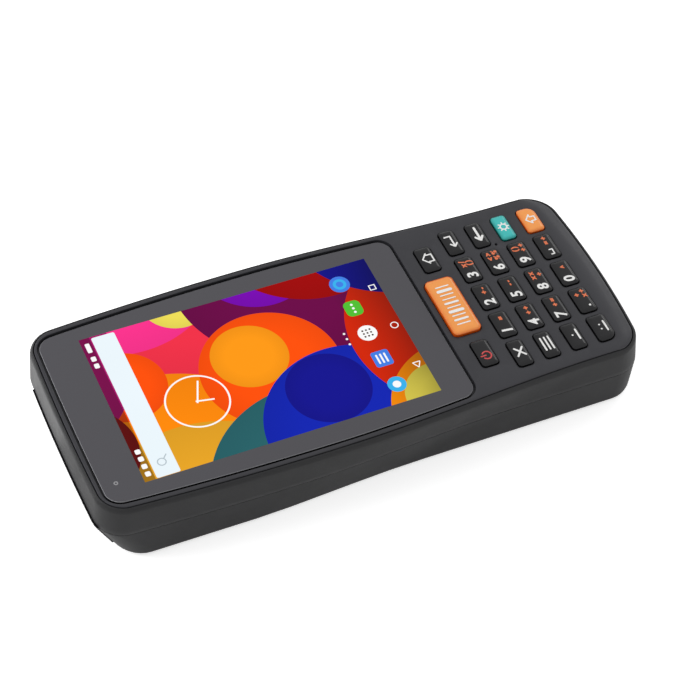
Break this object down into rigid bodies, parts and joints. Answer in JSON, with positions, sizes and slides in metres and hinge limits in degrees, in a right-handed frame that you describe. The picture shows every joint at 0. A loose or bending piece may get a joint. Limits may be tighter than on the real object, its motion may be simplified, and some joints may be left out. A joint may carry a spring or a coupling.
{
  "type": "portable barcode data terminal",
  "caption": "Handheld data terminal with a touch display over a numeric keypad, a barcode scan window in its end, sliding battery cover and flap over the charging port.",
  "frame": {"origin": "centre of the footprint, on the plane under the rubber feet", "axes": "+X towards the user's right when reading the display, +Y towards the scanner end, +Z out of the display"},
  "size_m": [0.0702, 0.1664, 0.0248],
  "materials": {
    "body_plastic": "satin charcoal, fine moulded grain",
    "cover_glass": "polished toughened glass, dark printed border",
    "adhesive": "black foam tape",
    "display": "lit colour panel",
    "plate_alloy": "die-cast, as cast",
    "pad_silicone": "translucent silicone",
    "circuit_board": "green solder mask",
    "steel": "plated sheet and turned steel",
    "module_plastic": "black moulded",
    "dark_window": "polished, nearly black",
    "battery_wrap": "dark film wrap",
    "flash_diffuser": "pale fluted",
    "copper": "etched foil on film",
    "rubber": "soft, matt black",
    "key_black": "clear-coated black",
    "key_orange": "clear-coated orange",
    "key_teal": "clear-coated teal"
  },
  "bodies": {
    "body": {"front_panel": "body_plastic", "front_frame": "body_plastic", "rear_shell": "body_plastic", "cover_glass": "cover_glass", "glass_tape": "adhesive", "display_module": "display", "mid_plate": "plate_alloy", "keypad_mat": "pad_silicone", "keypad_board": "circuit_board", "key_domes": "steel", "main_board": "circuit_board", "shield_cans": "steel", "scan_engine": "module_plastic", "engine_bracket": "steel", "scan_window": "dark_window", "speaker": "module_plastic", "vibration_motor": "steel", "usb_socket": "steel", "battery": "battery_wrap", "battery_contacts": "module_plastic", "card_sockets": "steel", "camera_module": "module_plastic", "camera_lens": "dark_window", "flash_lens": "flash_diffuser", "microphone": "steel", "light_sensor": "module_plastic", "backup_cell": "steel", "antenna": "copper", "case_screws": "steel", "board_screws": "steel", "rubber_feet": "rubber", "flap_anchor": "rubber"},
    "battery_cover": {"battery_cover": "body_plastic"},
    "port_flap": {"port_flap": "rubber"},
    "key_power": {"key_power": "key_black"},
    "key_scan": {"key_scan": "key_orange"},
    "key_home": {"key_home": "key_black"},
    "key_escape": {"key_escape": "key_black"},
    "key_1": {"key_1": "key_black"},
    "key_2": {"key_2": "key_black"},
    "key_3": {"key_3": "key_black"},
    "key_enter": {"key_enter": "key_black"},
    "key_menu": {"key_menu": "key_black"},
    "key_4": {"key_4": "key_black"},
    "key_5": {"key_5": "key_black"},
    "key_6": {"key_6": "key_black"},
    "key_back": {"key_back": "key_black"},
    "key_f1": {"key_f1": "key_black"},
    "key_7": {"key_7": "key_black"},
    "key_8": {"key_8": "key_black"},
    "key_9": {"key_9": "key_black"},
    "key_function": {"key_function": "key_teal"},
    "key_f2": {"key_f2": "key_black"},
    "key_point": {"key_point": "key_black"},
    "key_0": {"key_0": "key_black"},
    "key_space": {"key_space": "key_black"},
    "key_shift": {"key_shift": "key_orange"}
  },
  "joints": [
    {"name": "battery_cover_slide", "type": "slide", "parent": "body", "child": "battery_cover", "axis": [0, -1, 0], "range_m": [0, 0.07]},
    {"name": "port_flap_hinge", "type": "hinge", "parent": "body", "child": "port_flap", "pos_m": [-0.0092, -0.08253, 0.0095], "axis": [0, 0, -1], "range_deg": [0, 100]},
    {"name": "key_power_press", "type": "slide", "parent": "body", "child": "key_power", "axis": [0, 0, 1], "range_m": [-0.0005, 0], "stiffness_N_per_m": 1500, "springref_m": 0.0004},
    {"name": "key_scan_press", "type": "slide", "parent": "body", "child": "key_scan", "axis": [0, 0, 1], "range_m": [-0.0005, 0], "stiffness_N_per_m": 1500, "springref_m": 0.0004},
    {"name": "key_home_press", "type": "slide", "parent": "body", "child": "key_home", "axis": [0, 0, 1], "range_m": [-0.0005, 0], "stiffness_N_per_m": 1500, "springref_m": 0.0004},
    {"name": "key_escape_press", "type": "slide", "parent": "body", "child": "key_escape", "axis": [0, 0, 1], "range_m": [-0.0005, 0], "stiffness_N_per_m": 1500, "springref_m": 0.0004},
    {"name": "key_1_press", "type": "slide", "parent": "body", "child": "key_1", "axis": [0, 0, 1], "range_m": [-0.0005, 0], "stiffness_N_per_m": 1500, "springref_m": 0.0004},
    {"name": "key_2_press", "type": "slide", "parent": "body", "child": "key_2", "axis": [0, 0, 1], "range_m": [-0.0005, 0], "stiffness_N_per_m": 1500, "springref_m": 0.0004},
    {"name": "key_3_press", "type": "slide", "parent": "body", "child": "key_3", "axis": [0, 0, 1], "range_m": [-0.0005, 0], "stiffness_N_per_m": 1500, "springref_m": 0.0004},
    {"name": "key_enter_press", "type": "slide", "parent": "body", "child": "key_enter", "axis": [0, 0, 1], "range_m": [-0.0005, 0], "stiffness_N_per_m": 1500, "springref_m": 0.0004},
    {"name": "key_menu_press", "type": "slide", "parent": "body", "child": "key_menu", "axis": [0, 0, 1], "range_m": [-0.0005, 0], "stiffness_N_per_m": 1500, "springref_m": 0.0004},
    {"name": "key_4_press", "type": "slide", "parent": "body", "child": "key_4", "axis": [0, 0, 1], "range_m": [-0.0005, 0], "stiffness_N_per_m": 1500, "springref_m": 0.0004},
    {"name": "key_5_press", "type": "slide", "parent": "body", "child": "key_5", "axis": [0, 0, 1], "range_m": [-0.0005, 0], "stiffness_N_per_m": 1500, "springref_m": 0.0004},
    {"name": "key_6_press", "type": "slide", "parent": "body", "child": "key_6", "axis": [0, 0, 1], "range_m": [-0.0005, 0], "stiffness_N_per_m": 1500, "springref_m": 0.0004},
    {"name": "key_back_press", "type": "slide", "parent": "body", "child": "key_back", "axis": [0, 0, 1], "range_m": [-0.0005, 0], "stiffness_N_per_m": 1500, "springref_m": 0.0004},
    {"name": "key_f1_press", "type": "slide", "parent": "body", "child": "key_f1", "axis": [0, 0, 1], "range_m": [-0.0005, 0], "stiffness_N_per_m": 1500, "springref_m": 0.0004},
    {"name": "key_7_press", "type": "slide", "parent": "body", "child": "key_7", "axis": [0, 0, 1], "range_m": [-0.0005, 0], "stiffness_N_per_m": 1500, "springref_m": 0.0004},
    {"name": "key_8_press", "type": "slide", "parent": "body", "child": "key_8", "axis": [0, 0, 1], "range_m": [-0.0005, 0], "stiffness_N_per_m": 1500, "springref_m": 0.0004},
    {"name": "key_9_press", "type": "slide", "parent": "body", "child": "key_9", "axis": [0, 0, 1], "range_m": [-0.0005, 0], "stiffness_N_per_m": 1500, "springref_m": 0.0004},
    {"name": "key_function_press", "type": "slide", "parent": "body", "child": "key_function", "axis": [0, 0, 1], "range_m": [-0.0005, 0], "stiffness_N_per_m": 1500, "springref_m": 0.0004},
    {"name": "key_f2_press", "type": "slide", "parent": "body", "child": "key_f2", "axis": [0, 0, 1], "range_m": [-0.0005, 0], "stiffness_N_per_m": 1500, "springref_m": 0.0004},
    {"name": "key_point_press", "type": "slide", "parent": "body", "child": "key_point", "axis": [0, 0, 1], "range_m": [-0.0005, 0], "stiffness_N_per_m": 1500, "springref_m": 0.0004},
    {"name": "key_0_press", "type": "slide", "parent": "body", "child": "key_0", "axis": [0, 0, 1], "range_m": [-0.0005, 0], "stiffness_N_per_m": 1500, "springref_m": 0.0004},
    {"name": "key_space_press", "type": "slide", "parent": "body", "child": "key_space", "axis": [0, 0, 1], "range_m": [-0.0005, 0], "stiffness_N_per_m": 1500, "springref_m": 0.0004},
    {"name": "key_shift_press", "type": "slide", "parent": "body", "child": "key_shift", "axis": [0, 0, 1], "range_m": [-0.0005, 0], "stiffness_N_per_m": 1500, "springref_m": 0.0004}
  ]
}
